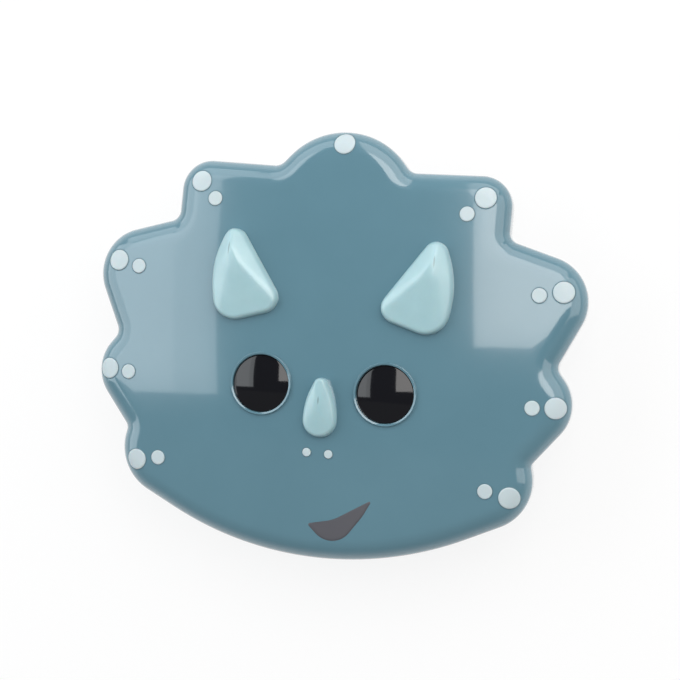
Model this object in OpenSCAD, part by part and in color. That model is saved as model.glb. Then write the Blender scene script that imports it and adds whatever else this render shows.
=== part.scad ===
// Snack container for a toddler. An oval tray holds a cross of two lift-out dividers, and a
// press-on lid shaped as the face of a horned dinosaur closes it. The face looks up (+Z), its
// crest points along +Y, and the tray's foot stands on Z = 0. All sizes are in millimetres.

/* [Face outline] */
// Width of the lid across its widest lobes
lid_w = 180.7; // [166:0.1:200]
// Length of the lid from the crest to the chin
lid_l = 154.6; // [146:0.1:170]
// The outline has a corner at each lobe and notch; the other side is its mirror image
// Crest lobe at the top of the head: reach past the lid's length, and rounding
crest_lobe = [15.3, 27.5]; // [0:0.1:40]
// Notch beside the crest: [x, place below the lid's length, rounding]
crest_notch = [24.2, -13.3, 5]; // [-30:0.1:40]
// Each side lobe and notch: [reach past the lid's width, y, rounding]
// Lobe over the brow
brow_lobe = [-29.15, 64.8, 11]; // [-40:0.05:80]
// Notch below the brow lobe
brow_notch = [-29.15, 42.3, 4]; // [-40:0.05:80]
// Widest lobe of the frill
frill_lobe = [6.75, 31.9, 16.5]; // [-20:0.05:50]
// Notch below the frill lobe
frill_notch = [-9.05, -1.3, 4]; // [-30:0.05:20]
// Lobe beside the cheek
cheek_lobe = [1.65, -14.8, 15.2]; // [-30:0.05:20]
// Notch below the cheek lobe
cheek_notch = [-15.15, -36, 3]; // [-50:0.05:20]
// Lobe beside the jaw
jaw_lobe = [-11.15, -52.6, 18]; // [-70:0.05:20]
// Broad chin: reach past the lid's length, and rounding
chin = [13.7, 125]; // [0:0.1:140]

/* [Lid shell] */
// Thickness of the lid's wall
lid_wall = 2.2; // [1.6:0.1:2.8]
// Width of the rounded edge, seen from above
edge_w = 8; // [6:0.5:9]
// Height of the rounded edge
edge_h = 6; // [5:0.5:8]
// Height of the straight skirt below the rounded edge
skirt_h = 6; // [4:0.5:9]
// Rise of the crown from the outline's ends to the middle
crown_h = 4; // [1:0.25:6]
// Height of the lid's middle above the seal
lid_rise = 8.9; // [8:0.1:11]
// Thickness of the two ribs that hold the seal
rib_t = 1.6; // [1.2:0.1:2]
// Reach of the ribs below the tray's rim
rib_reach = 2.5; // [1:0.1:4]
// Gap between the outer rib and the skirt at the tightest notch
skirt_gap = 0.6; // [0.5:0.1:2]
// Gap between the tray's rim and the outer rib
rim_gap = 0.3; // [0.2:0.05:0.6]

/* [Seal] */
// Height of the seal ring
seal_h = 2.6; // [2:0.1:3.5]
// Overlap of the seal past the rim, towards the food
seal_lap = 0.5; // [0.3:0.1:1]
// Gap between the seal and each rib
seal_gap = 0.15; // [0.05:0.05:0.3]
// Rounding of the seal's lower edges
seal_r = 0.8; // [0.3:0.1:1]

/* [Tray] */
// Height of the tray
tray_h = 36; // [28:1:50]
// Straight stretch between the oval's two round ends
oval_straight = 20; // [10:1:24]
// Place of the oval's middle, along the head
tray_y = -5.5; // [-8:0.5:-3]
// Thickness of the tray's wall
tray_wall = 2; // [1.5:0.1:2.5]
// Width of the flat rim
rim_w = 3; // [2.6:0.1:4]
// Depth of the rim's flange
flange_h = 2.2; // [1.5:0.1:3]
// How far the wall leans in from rim to foot
draft = 4; // [2:0.5:8]
// Thickness of the floor
floor_t = 2; // [1.5:0.1:3]
// Height of the foot ring
foot_h = 1; // [0.5:0.1:2]
// Width of the foot ring
foot_w = 4; // [2:0.5:6]
// Inner rounding between the floor and the wall
floor_r = 6; // [3:0.5:8]
// Rounding of the foot ring's outer edge
foot_bevel = 0.8; // [0.3:0.1:1.5]
// Rounding of the rim's edges
rim_bevel = 0.5; // [0.2:0.1:0.8]

/* [Dividers] */
// Thickness of each divider
div_t = 2; // [1.5:0.1:3]
// Gap between a divider and what guides it
div_gap = 0.25; // [0.2:0.05:0.5]
// Gap under a divider and between its top and the lid's ribs
div_rest = 0.3; // [0.2:0.05:0.6]
// Reach of the guide ribs from the tray's wall
guide_reach = 2.5; // [1.5:0.1:4]
// Thickness of each guide rib
guide_t = 1.6; // [1.2:0.1:2.5]
// Rounding of the dividers' top corners
div_corner = 2; // [0.5:0.5:4]

/* [Horns] */
// Corners of the right brow horn's foot, each [x, y, rounding]: inner, lower, outer and tip
horn_inner = [15.4, 12.2, 5.8]; // [0:0.1:60]
horn_lower = [41.7, 4.3, 8.5]; // [0:0.1:60]
horn_outer = [45.5, 26.1, 38]; // [0:0.1:60]
horn_tip = [37.7, 44.4, 4.5]; // [0:0.1:60]
// Place of the brow horn's highest point
horn_peak = [37, 31.5]; // [20:0.1:50]
// Height of a brow horn above the lid
horn_h = 6.5; // [4:0.5:10]
// Height of the rounded side of a horn
horn_side = 2.6; // [1:0.1:4]
// Nose horn: corner of the tip, [x, y, rounding]
nose_tip = [0, -8.1, 2.7]; // [-20:0.1:20]
// Nose horn: corner at the side, [x, y, rounding]
nose_side = [6.2, -20.5, 24.5]; // [-40:0.1:20]
// Nose horn: lower corner, [x, y, rounding]
nose_lower = [6.2, -32.7, 6]; // [-40:0.1:20]
// Place of the nose horn's highest point
nose_peak = [0, -20.4]; // [-28:0.1:10]
// Height of the nose horn above the lid
nose_h = 5; // [3:0.5:8]
// Diameter of the pegs that hold the horns through the lid
peg_d = 4; // [3:0.1:5]
// Diameter of the pegs' heads under the lid
head_d = 7; // [6:0.1:9]
// Thickness of the pegs' heads
head_t = 1.4; // [1:0.1:2]
// Gap round a peg in its hole
peg_gap = 0.1; // [0.05:0.05:0.2]
// Gap between the lid and a peg's head
head_gap = 0.3; // [0.25:0.05:0.5]
// Places of the two pegs of the right brow horn
horn_peg_upper = [36.5, 29]; // [20:0.5:40]
horn_peg_lower = [31, 15.5]; // [10:0.5:40]
// Place of the nose horn's peg
nose_peg = [0, -26]; // [-30:0.5:0]

/* [Eyes] */
// Diameter of an eye
eye_d = 20.6; // [14:0.2:24]
// Place of the right eye
eye_place = [22.8, -15.4]; // [-30:0.1:40]
// Height of an eye above the lid
eye_h = 1; // [0.4:0.1:4]
// Height of the eye's upright side above the lid, below it where negative
eye_side = -0.2; // [-0.4:0.1:0.6]
// Depth of the pocket that the eye sits in
eye_sink = 0.8; // [0.6:0.1:1.2]
// Gap round an eye in its pocket
eye_gap = 0.2; // [0.1:0.05:0.5]
// Width of the raised lip round an eye's pocket
eye_lip_w = 0.9; // [0.5:0.1:1.5]
// Height of the raised lip above the lid
eye_lip_h = 0.7; // [0.3:0.1:1]

/* [Mouth] */
// Corners of the smile, each [x, y, rounding], from its left end round its lower edge
mouth_left = [-2.3, -64.1, 0.6]; // [-80:0.1:30]
mouth_bottom = [7.9, -73.6, 8.1]; // [-80:0.1:30]
mouth_cheek = [18, -59.3, 15]; // [-80:0.1:30]
mouth_right = [21, -53.2, 0.4]; // [-80:0.1:30]
mouth_lip = [7.2, -61.85, 15]; // [-80:0.1:30]
// Thickness of the mouth inlay above the lid
mouth_t = 0.25; // [0.15:0.05:0.5]

/* [Frill dots] */
// Diameter of a large dot
dot_d = 7.6; // [5:0.1:8.4]
// Diameter of a small dot
dot_small_d = 5.3; // [3:0.1:6]
// Diameter of a nostril dot
nostril_d = 3.1; // [2:0.1:4.5]
// Thickness of the dots above the lid
dot_t = 0.3; // [0.2:0.05:0.6]
// Thickness of the bond under the dots and the mouth
bond_t = 0.05; // [0.04:0.01:0.1]
// Place of the crest dot, measured from the middle of the crest lobe's rounding
crest_dot = [0, 22.6]; // [0:0.1:24]
// Places of the large and the small dots, from the middle of each lobe's rounding
brow_dot = [2.1, 2.7]; // [-6:0.1:6]
brow_dot_small = [-3.9, -3.4]; // [-6:0.1:6]
frill_dot = [8.2, 3.8]; // [-12:0.1:12]
frill_dot_small = [-0.1, 2.1]; // [-12:0.1:12]
cheek_dot = [9.9, -0.2]; // [-12:0.1:12]
cheek_dot_small = [1.9, -0.8]; // [-12:0.1:12]
jaw_dot = [10.8, -4.9]; // [-14:0.1:14]
jaw_dot_small = [2.2, -3.4]; // [-14:0.1:14]
// Place of the right nostril
nostril_place = [4, -38.5]; // [-50:0.1:10]

/* [Hidden] */

teal = "#6a9db2";
mint = "#cfe6e9";
horn_mint = "#b4d3d8";
frost = "#dfe7e8";
black = "#111318";
smoke = "#55545c";

arc_step = 13;      // largest turn of one facet on the outline's corners, in degrees
chin_step = 4.5;    // the same on the broad chin
tray_step = 15;     // the same on the tray's section
divider_step = 10;  // the same on the dividers' corners
seal_step = 30;     // the same on the seal's section
piece_step = 20;    // the same on the horns and the mouth
span_step = 9;      // longest facet on a straight stretch of the outline
edge_facets = 4;    // facets across the rounded edge
round_fn = 96;      // facets of a full circle or oval

// ---- Rounded outlines ----
function unit(v) = v / norm(v);
function flip(p) = [for (i = [0:len(p) - 1]) i == 0 ? -p[0] : p[i]];
function reversed(list) = [for (i = [len(list) - 1:-1:0]) list[i]];
function joined(lists) = [for (list = lists) for (item = list) item];

// The middle of the rounding at corner b, between corners a and c
function rounding_centre(a, b, c) =
    let (p = [a.x, a.y], q = [b.x, b.y], n = [c.x, c.y],
        u = unit(p - q), v = unit(n - q), half = acos(u * v) / 2)
    q + unit(u + v) * b[2] / sin(half);

// One rounded corner b of a counter-clockwise outline, as a list of [point, outward normal]
function rounded_corner(a, b, c, step) =
    let (p = [a.x, a.y], q = [b.x, b.y], n = [c.x, c.y],
        u = unit(p - q), v = unit(n - q), turn = 180 - acos(u * v),
        side = cross(q - p, n - q) > 0 ? 1 : -1,
        middle = rounding_centre(a, b, c),
        first = atan2(p.x - q.x, q.y - p.y),
        facets = ceil(turn / step))
    [for (i = [0:facets])
        let (angle = first + side * turn * i / facets, normal = [cos(angle), sin(angle)])
        [middle + side * b[2] * normal, normal]];

// A closed outline of rounded corners; steps gives each corner's facet turn
function rounded_outline(corners, steps) =
    let (count = len(corners))
    joined([for (i = [0:count - 1])
        rounded_corner(corners[(i + count - 1) % count], corners[i],
            corners[(i + 1) % count], steps[i])]);

// The same outline with its long straight stretches cut into spans
function with_spans(outline) =
    let (count = len(outline))
    joined([for (i = [0:count - 1])
        let (here = outline[i], next = outline[(i + 1) % count],
            gap = norm(next[0] - here[0]),
            spans = norm(here[1] - next[1]) < 0.001 ? ceil(gap / span_step) : 1)
        [for (k = [0:spans - 1]) [here[0] + (next[0] - here[0]) * k / spans, here[1]]]]);

function points_of(outline) = [for (item = outline) item[0]];
function same_steps(corners, step) = [for (corner = corners) step];

// ---- The lid's outline and its outer skin ----
function beside(corner) = [lid_w / 2 + corner[0], corner[1], corner[2]];
crest_corner = [0, lid_l / 2 + crest_lobe[0], crest_lobe[1]];
chin_corner = [0, -lid_l / 2 - chin[0], chin[1]];
notch_corner = [crest_notch[0], lid_l / 2 + crest_notch[1], crest_notch[2]];
side_lobes = [for (corner = [jaw_lobe, cheek_notch, cheek_lobe, frill_notch, frill_lobe,
    brow_notch, brow_lobe]) beside(corner)];
side_corners = concat(side_lobes, [notch_corner]);
face_corners = concat([chin_corner], side_corners, [crest_corner],
    reversed([for (corner = side_corners) flip(corner)]));
face_steps = [for (corner = face_corners) corner == chin_corner ? chin_step : arc_step];
face = with_spans(rounded_outline(face_corners, face_steps));
face_points = points_of(face);
face_half_w = max([for (p = face_points) p.x]);
face_top = max([for (p = face_points) p.y]);
face_bottom = min([for (p = face_points) p.y]);
face_mid = (face_top + face_bottom) / 2;
face_half_h = (face_top - face_bottom) / 2;

seal_z = tray_h + seal_h;
lid_top = seal_z + lid_rise;
skirt_z = lid_top - crown_h - edge_h - skirt_h;
rib_z = tray_h - rib_reach;

// Height of the crowned top, without its rounded edge
function crown_z(p) =
    lid_top - crown_h * (pow(p.x / face_half_w, 2) + pow((p.y - face_mid) / face_half_h, 2));

function span_distance(p, a, b) =
    let (span = b - a, along = max(0, min(1, (p - a) * span / (span * span))))
    norm(p - a - along * span);

// Distance from a point inside the outline to the outline
function edge_distance(p) =
    let (count = len(face_points))
    min([for (i = [0:count - 1]) span_distance(p, face_points[i], face_points[(i + 1) % count])]);

// Drop of the rounded edge at a distance from the outline, on a surface that lies lift
// outside the lid's outer skin
function edge_drop(distance, lift) =
    let (inset = 1 - (distance + lift) / (edge_w + lift), u = max(0, min(1, inset)))
    (edge_h + lift) * (1 - sqrt(1 - u * u));

function skin_z(p, lift = 0) = crown_z(p) + lift - edge_drop(edge_distance(p), lift);

function on_skin(points, lift = 0) = [for (p = points) [p.x, p.y, skin_z(p, lift)]];
function at_height(points, z) = [for (p = points) [p.x, p.y, z]];
function inset_face(distance) = [for (item = face) item[0] - distance * item[1]];
function shrunk(points, middle, share) = [for (p = points) middle + share * (p - middle)];
function blended(from, to, share) = [for (i = [0:len(from) - 1]) from[i] + share * (to[i] - from[i])];

// ---- Closed solids from stacked rings of points ----
module loft(rings, start, end) {
    count = len(rings[0]);
    last = len(rings) * count + 1;
    walls = [for (j = [0:len(rings) - 2], i = [0:count - 1])
        let (k = (i + 1) % count, a = 1 + j * count, b = a + count)
        each [[a + i, b + i, b + k], [a + i, b + k, a + k]]];
    caps = [for (i = [0:count - 1])
        let (k = (i + 1) % count, top = last - count)
        each [[0, 1 + i, 1 + k], [top + i, last, top + k]]];
    polyhedron(points = concat([start], joined(rings), [end]), faces = concat(walls, caps),
        convexity = 8);
}

// A thin pad on the lid's skin, with its upper edge rounded over
module skin_pad(outline, middle, thickness) {
    under = [for (share = [0.4, 0.75, 1]) on_skin(shrunk(outline, middle, share), bond_t)];
    over = [for (share = [0.97, 0.7, 0.35]) on_skin(shrunk(outline, middle, share), thickness)];
    loft(concat(under, over), [middle.x, middle.y, skin_z(middle, bond_t)],
        [middle.x, middle.y, skin_z(middle, thickness)]);
}

// A horn: its foot lies on the lid, its sides round over, and its faces rise to the peak
module horn_body(outline, peak, height, side) {
    foot = [for (share = [0.5, 1]) [for (p = shrunk(outline, peak, share)) [p.x, p.y, crown_z(p)]]];
    flanks = [for (inset = [0.04, 0.12, 0.24, 0.45, 0.7])
        let (rounding = 1 - pow(1 - inset / 0.24, 2), lift = inset < 0.24
            ? side * rounding : side + (height - side) * sin(90 * (inset - 0.24) / 0.76))
        [for (p = shrunk(outline, peak, 1 - inset)) [p.x, p.y, crown_z(p) + lift]]];
    loft(concat(foot, flanks), [peak.x, peak.y, crown_z(peak)],
        [peak.x, peak.y, crown_z(peak) + height]);
}

// A peg that passes through the lid and ends in a head under it
module lid_peg(place, from) {
    under = crown_z(place) - lid_wall - head_gap;
    translate([place.x, place.y, under - head_t]) cylinder(d = head_d, h = head_t, $fn = 32);
    translate([place.x, place.y, under - head_t / 2])
        cylinder(d = peg_d, h = from - under + head_t / 2, $fn = 32);
}

module peg_hole(place) {
    translate([place.x, place.y, crown_z(place) - 2 * lid_wall])
        cylinder(d = peg_d + 2 * peg_gap, h = 3 * lid_wall, $fn = 32);
}

// ---- The oval that the tray, the ribs and the seal share ----
// The point of the oval's spine that lies nearest to p
function spine(p) = [max(-oval_straight / 2, min(oval_straight / 2, p.x)), tray_y];

// The oval of a given end radius, with a point in the direction of each outline point, so
// that its rings match the outline's
function oval_ring(radius) =
    [for (p = face_points) spine(p) + radius * unit([p.x, p.y] - spine(p))];

oval_mid = [0, tray_y];
oval_fit = min([for (p = face_points) norm(p - spine(p))]);
rim_r = oval_fit - lid_wall - skirt_gap - rib_t - rim_gap;
rim_in_r = rim_r - rim_w;
channel_out_r = rim_r + rim_gap;
seal_w = rim_gap - seal_gap + rim_w + seal_lap;
channel_in_r = channel_out_r - seal_w - 2 * seal_gap;

// Carries a section round the oval: two round ends and the straight stretch between them
module oval() {
    half = oval_straight / 2;
    translate([0, tray_y, 0]) for (turn = [0, 180]) rotate([0, 0, turn]) {
        translate([half, 0, 0]) rotate_extrude(angle = 180, start = -90, $fn = round_fn)
            children();
        translate([-half, 0, 0]) rotate([90, 0, 90]) linear_extrude(oval_straight) children();
    }
}

// End radius of the tray's inner wall at a height
function inner_r(z) = rim_in_r - draft * (tray_h - z) / tray_h;
floor_z = foot_h + floor_t;
div_foot = floor_z + div_rest;
div_top = rib_z - div_rest;
div_cut = (div_foot + div_top) / 2;

// All pieces are drawn about the oval's frame and then centred on the outline's box
module placed() translate([0, -face_mid, 0]) children();

module base_tray() color(teal) placed() {
    oval() polygon(tray_section());
    for (turn = [0, 180]) guide_pair(turn, oval_straight / 2);
    for (turn = [90, 270]) guide_pair(turn, 0);
}

// The tray's section, right of its middle line, from the underside round to the floor
function tray_section() =
    let (foot_r = inner_r(0) + tray_wall,
        neck_z = tray_h - flange_h - rim_w + tray_wall,
        neck_r = inner_r(neck_z) + tray_wall,
        foot_in = foot_r - floor_r / 2 - foot_w,
        corners = [[0, foot_h, 0], [foot_in, foot_h, 0], [foot_in, 0, 0],
            [foot_r - floor_r / 2, 0, foot_bevel], [foot_r, floor_r, floor_r],
            [neck_r, neck_z, 0], [rim_r, tray_h - flange_h, 0], [rim_r, tray_h, rim_bevel],
            [rim_in_r, tray_h, rim_bevel], [inner_r(floor_z), floor_z, floor_r],
            [0, floor_z, 0]])
    joined([for (i = [0:len(corners) - 1]) corners[i][2] == 0
        ? [[corners[i].x, corners[i].y]]
        : points_of(rounded_corner(corners[i - 1], corners[i], corners[i + 1], tray_step))]);

// Two upright ribs on the inner wall, one on each side of a divider's end
module guide_pair(turn, reach) {
    foot = floor_z - floor_t / 2;
    knee = floor_z + floor_r;
    bite = tray_wall / 2;
    for (side = [-1, 1])
        translate([0, tray_y, 0]) rotate([0, 0, turn])
            translate([reach, side * (div_t / 2 + div_gap + guide_t / 2), 0]) rotate([90, 0, 0])
                linear_extrude(guide_t, center = true)
                    polygon([[inner_r(foot) - floor_r - guide_reach, foot],
                        [inner_r(foot) - floor_r / 2, foot],
                        [inner_r(knee) + bite, knee], [inner_r(div_top) + bite, div_top],
                        [inner_r(div_top) - guide_reach, div_top],
                        [inner_r(knee) - guide_reach, knee]]);
}

// A flat divider that follows the tray's wall, with half a cross joint cut from it
module divider(turn, reach, cut_from, cut_to) {
    top_half = reach + inner_r(div_top) - div_gap;
    foot_half = reach + inner_r(div_foot) - div_gap;
    corner = floor_r + div_rest;
    outline = [[-foot_half, div_foot, corner], [foot_half, div_foot, corner],
        [top_half, div_top, div_corner], [-top_half, div_top, div_corner]];
    translate([0, tray_y, 0]) rotate([0, 0, turn]) difference() {
        rotate([90, 0, 0]) linear_extrude(div_t, center = true)
            polygon(points_of(rounded_outline(outline, same_steps(outline, divider_step))));
        translate([-div_t / 2 - div_gap, -div_t, cut_from])
            cube([div_t + 2 * div_gap, 2 * div_t, cut_to - cut_from]);
    }
}

module divider_long() color(frost) placed()
    divider(0, oval_straight / 2, div_cut - div_gap / 2, div_top + div_rest);

module divider_cross() color(frost) placed()
    divider(90, 0, div_foot - div_rest, div_cut + div_gap / 2);

module lid_shell() color(teal) placed() {
    wall_ring = inset_face(lid_wall);
    rib_out_ring = oval_ring(channel_out_r + rib_t);
    rib_in_r = channel_in_r - rib_t;
    underside = concat(
        [on_skin(oval_ring(rib_in_r / 2), -lid_wall), on_skin(oval_ring(rib_in_r), -lid_wall)],
        [for (radius = [rib_in_r, channel_in_r]) at_height(oval_ring(radius), rib_z)],
        [for (radius = [channel_in_r, channel_out_r]) at_height(oval_ring(radius), seal_z)],
        [for (radius = [channel_out_r, channel_out_r + rib_t]) at_height(oval_ring(radius), rib_z)],
        [for (share = [0, 0.5, 0.8]) on_skin(blended(rib_out_ring, wall_ring, share), -lid_wall)],
        [[for (p = wall_ring) [p.x, p.y, crown_z(p) - edge_h]]],
        [at_height(wall_ring, skirt_z)]);
    edge = [for (i = [0:edge_facets])
        let (angle = 90 * i / edge_facets)
        [for (p = inset_face(edge_w * (1 - cos(angle))))
            [p.x, p.y, crown_z(p) - edge_h * (1 - sin(angle))]]];
    top = [for (share = [0.8, 0.45])
        [for (p = shrunk(inset_face(edge_w), oval_mid, share)) [p.x, p.y, crown_z(p)]]];
    difference() {
        union() {
            loft(concat(underside, [at_height(face_points, skirt_z)], edge, top),
                [oval_mid.x, oval_mid.y, crown_z(oval_mid) - lid_wall],
                [oval_mid.x, oval_mid.y, crown_z(oval_mid)]);
            for (place = [eye_place, flip(eye_place)])
                translate([place.x, place.y, crown_z(place) - eye_sink])
                    cylinder(d = eye_d + 2 * eye_gap + 2 * eye_lip_w, h = eye_sink + eye_lip_h,
                        $fn = 64);
        }
        for (place = [eye_place, flip(eye_place)]) {
            translate([place.x, place.y, crown_z(place) - eye_sink])
                cylinder(d = eye_d + 2 * eye_gap, h = 2 * (eye_sink + eye_lip_h), $fn = 64);
            peg_hole(place);
        }
        for (place = [horn_peg_upper, horn_peg_lower]) {
            peg_hole(place);
            peg_hole(flip(place));
        }
        peg_hole(nose_peg);
    }
}

module lid_seal() color(frost) placed() oval()
    translate([channel_in_r + seal_gap, tray_h]) seal_section();

// A flat-topped section whose two lower edges are rounded
module seal_section() {
    corners = [[0, 0, seal_r], [seal_w, 0, seal_r]];
    polygon(concat(
        points_of(rounded_corner([0, seal_h, 0], corners[0], corners[1], seal_step)),
        points_of(rounded_corner(corners[0], corners[1], [seal_w, seal_h, 0], seal_step)),
        [[seal_w, seal_h], [0, seal_h]]));
}

horn_corners = [horn_inner, horn_lower, horn_outer, horn_tip];
horn_outline = points_of(with_spans(rounded_outline(horn_corners,
    same_steps(horn_corners, piece_step))));

module brow_horn() {
    horn_body(horn_outline, horn_peak, horn_h, horn_side);
    for (place = [horn_peg_upper, horn_peg_lower])
        lid_peg(place, crown_z(place) + horn_side / 2);
}

module horn_right() color(horn_mint) placed() brow_horn();

module horn_left() color(horn_mint) placed() mirror([1, 0, 0]) brow_horn();

module nose_horn() color(horn_mint) placed() {
    corners = [nose_tip, flip(nose_side), flip(nose_lower), nose_lower, nose_side];
    horn_body(points_of(rounded_outline(corners, same_steps(corners, piece_step))), nose_peak,
        nose_h, horn_side);
    lid_peg(nose_peg, crown_z(nose_peg) + horn_side / 2);
}

// A domed eye: an upright side, a round dome, and a peg through the lid
module eye(place) {
    rise = eye_h - eye_side;
    dome_r = (pow(eye_d / 2, 2) + rise * rise) / (2 * rise);
    facets = 10;
    spread = asin(eye_d / 2 / dome_r);
    dome = [for (i = [0:facets])
        let (angle = spread * (1 - i / facets))
        [dome_r * sin(angle), eye_h - dome_r * (1 - cos(angle))]];
    translate([place.x, place.y, crown_z(place)]) rotate_extrude($fn = 64)
        polygon(concat([[0, -eye_sink], [eye_d / 2, -eye_sink]], dome));
    lid_peg(place, crown_z(place) + eye_side);
}

module eye_right() color(black) placed() eye(eye_place);

module eye_left() color(black) placed() eye(flip(eye_place));

module mouth_inlay() color(smoke) placed() {
    corners = [mouth_left, mouth_bottom, mouth_cheek, mouth_right, mouth_lip];
    outline = points_of(rounded_outline(corners, same_steps(corners, piece_step)));
    skin_pad(outline, points_middle(outline), mouth_t);
}

function points_middle(points) =
    [for (axis = [0, 1]) (max([for (p = points) p[axis]]) + min([for (p = points) p[axis]])) / 2];

// A round dot on the lid's skin
module dot(place, diameter) {
    facets = diameter > 4 ? 18 : 14;
    skin_pad([for (i = [0:facets - 1]) place + diameter / 2 * [cos(360 * i / facets),
        sin(360 * i / facets)]], place, dot_t);
}

module both_sides(places, diameter)
    for (place = places) {
        dot(place, diameter);
        dot(flip(place), diameter);
    }

crest_mid = rounding_centre(notch_corner, crest_corner, flip(notch_corner));
brow_mid = rounding_centre(beside(brow_notch), beside(brow_lobe), notch_corner);
frill_mid = rounding_centre(beside(frill_notch), beside(frill_lobe), beside(brow_notch));
cheek_mid = rounding_centre(beside(cheek_notch), beside(cheek_lobe), beside(frill_notch));
jaw_mid = rounding_centre(chin_corner, beside(jaw_lobe), beside(cheek_notch));

module frill_dots_large() color(mint) placed() {
    dot(crest_mid + crest_dot, dot_d);
    both_sides([brow_mid + brow_dot, frill_mid + frill_dot, cheek_mid + cheek_dot,
        jaw_mid + jaw_dot], dot_d);
}

module frill_dots_small() color(mint) placed()
    both_sides([brow_mid + brow_dot_small, frill_mid + frill_dot_small,
        cheek_mid + cheek_dot_small, jaw_mid + jaw_dot_small], dot_small_d);

module nostril_dots() color(mint) placed() both_sides([nostril_place], nostril_d);

base_tray();
divider_long();
divider_cross();
lid_shell();
lid_seal();
horn_left();
horn_right();
nose_horn();
eye_left();
eye_right();
mouth_inlay();
frill_dots_large();
frill_dots_small();
nostril_dots();
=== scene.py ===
"""A toddler's snack container, dressed for its picture.

The frame holds every piece at its real size, in metres: +Z out of the face, +Y towards the
crest, the foot on z = 0. Each section below dresses one piece, in the order of assembly.
"""

import bpy
import numpy as np
from mathutils import Matrix, Vector


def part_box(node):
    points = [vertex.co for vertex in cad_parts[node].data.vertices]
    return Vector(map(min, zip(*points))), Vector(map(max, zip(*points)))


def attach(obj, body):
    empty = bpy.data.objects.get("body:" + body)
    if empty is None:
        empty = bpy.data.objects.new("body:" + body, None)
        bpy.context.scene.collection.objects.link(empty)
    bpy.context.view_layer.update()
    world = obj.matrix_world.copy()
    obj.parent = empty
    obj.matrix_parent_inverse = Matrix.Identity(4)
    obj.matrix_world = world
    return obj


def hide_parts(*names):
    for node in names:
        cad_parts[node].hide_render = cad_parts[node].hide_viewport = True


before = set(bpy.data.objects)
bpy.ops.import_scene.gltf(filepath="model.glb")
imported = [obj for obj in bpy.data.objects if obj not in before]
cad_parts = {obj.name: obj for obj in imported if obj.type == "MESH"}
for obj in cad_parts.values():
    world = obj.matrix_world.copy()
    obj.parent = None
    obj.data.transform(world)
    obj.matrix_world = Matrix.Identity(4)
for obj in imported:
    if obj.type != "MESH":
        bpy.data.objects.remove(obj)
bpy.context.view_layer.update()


# ---------------------------------------------------------------------------------------
# The tray: an oval tub of moulded plastic with leaning walls, a flat flanged rim and a low
# foot ring. It is one shot of the same blue-teal plastic as the lid.
# ---------------------------------------------------------------------------------------
MM = 0.001
TEAL_DEEP = (85, 122, 136)
TEAL_PALE = (94, 132, 146)
OVAL_MIDDLE = np.array([0.0, -5.722])
HALF_STRAIGHT = 10.0                    # half of the straight stretch between the round ends
RIM_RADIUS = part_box("base_tray")[1].x / MM - HALF_STRAIGHT
TRAY_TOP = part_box("base_tray")[1].z / MM
RIM_WIDTH = 3.0
FLANGE = 2.2
TRAY_WALL = 2.0
LEAN = 4.0                              # the wall's lean from the rim to the foot
FOOT_HEIGHT = 1.0
FOOT_WIDTH = 4.0
FLOOR_TOP = 3.0
FLOOR_ROUNDING = 6.0
RIM_INNER = RIM_RADIUS - RIM_WIDTH
MIDDLE_RING = 3.0                       # the first ring of points round the middle
OVAL_POINTS = 288
TRAY_ROUGHNESS = 0.38
SMOOTH_ANGLE = 40                       # degrees: sharper edges than this stay crisp


def linear(rgb):
    """A colour as a screen shows it, 0 to 255, in the linear values that shaders use."""
    c = np.asarray(rgb) / 255.0
    return (*np.where(c <= 0.04045, c / 12.92, ((c + 0.055) / 1.055) ** 2.4), 1.0)


def corner_arc(before, corner, after, radius, steps):
    """The round of one corner of an outline: points and outward normals along the arc that
    touches both sides, for an outline that runs counter-clockwise. The arc's middle lies on
    the line that halves the corner, radius / sin(half the angle) from it."""
    before, corner, after = (np.asarray(p, float)[:2] for p in (before, corner, after))
    u = (before - corner) / np.linalg.norm(before - corner)
    v = (after - corner) / np.linalg.norm(after - corner)
    half = np.arccos(np.clip(u @ v, -1, 1)) / 2
    side = 1.0 if u[1] * v[0] - u[0] * v[1] > 0 else -1.0
    middle = corner + (u + v) / np.linalg.norm(u + v) * radius / np.sin(half)
    first = np.arctan2(u[0], -u[1])
    angles = first + side * np.linspace(0, np.pi - 2 * half, steps)
    normals = np.stack([np.cos(angles), np.sin(angles)], axis=1)
    return middle + side * radius * normals, normals


def rounded(corners, steps=9):
    """An outline of (x, y, rounding) corners: every corner's arc in turn. A rounding of 0
    keeps the corner as one point."""
    count = len(corners)
    arcs = [corner_arc(corners[i - 1], corner, corners[(i + 1) % count], corner[2], steps)[0]
            if corner[2] else np.array([corner[:2]], float)
            for i, corner in enumerate(corners)]
    return np.concatenate(arcs)


def ring_faces(rings, columns):
    """The quads of a stack of closed rings of points, each joined to the one above it."""
    row = np.arange(rings - 1)[:, None] * columns
    here = np.arange(columns)[None, :]
    after = (here + 1) % columns
    quads = np.stack([row + here, row + after, row + columns + after, row + columns + here],
                     axis=-1)
    return quads.reshape(-1, 4)


def stacked(rings, start, end):
    """A closed skin from a stack of rings: quads between the rings, and a fan of triangles
    to the point start before the first ring and to the point end after the last."""
    rings = np.asarray(rings)
    count, columns = rings.shape[:2]
    here = np.arange(columns)
    after = (here + 1) % columns
    last = (count - 1) * columns
    pole = count * columns
    points = np.concatenate([rings.reshape(-1, 3), [start], [end]])
    bottom = np.stack([np.full(columns, pole), after, here], axis=1)
    top = np.stack([np.full(columns, pole + 1), last + here, last + after], axis=1)
    return points, ring_faces(count, columns).tolist() + bottom.tolist() + top.tolist()


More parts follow.
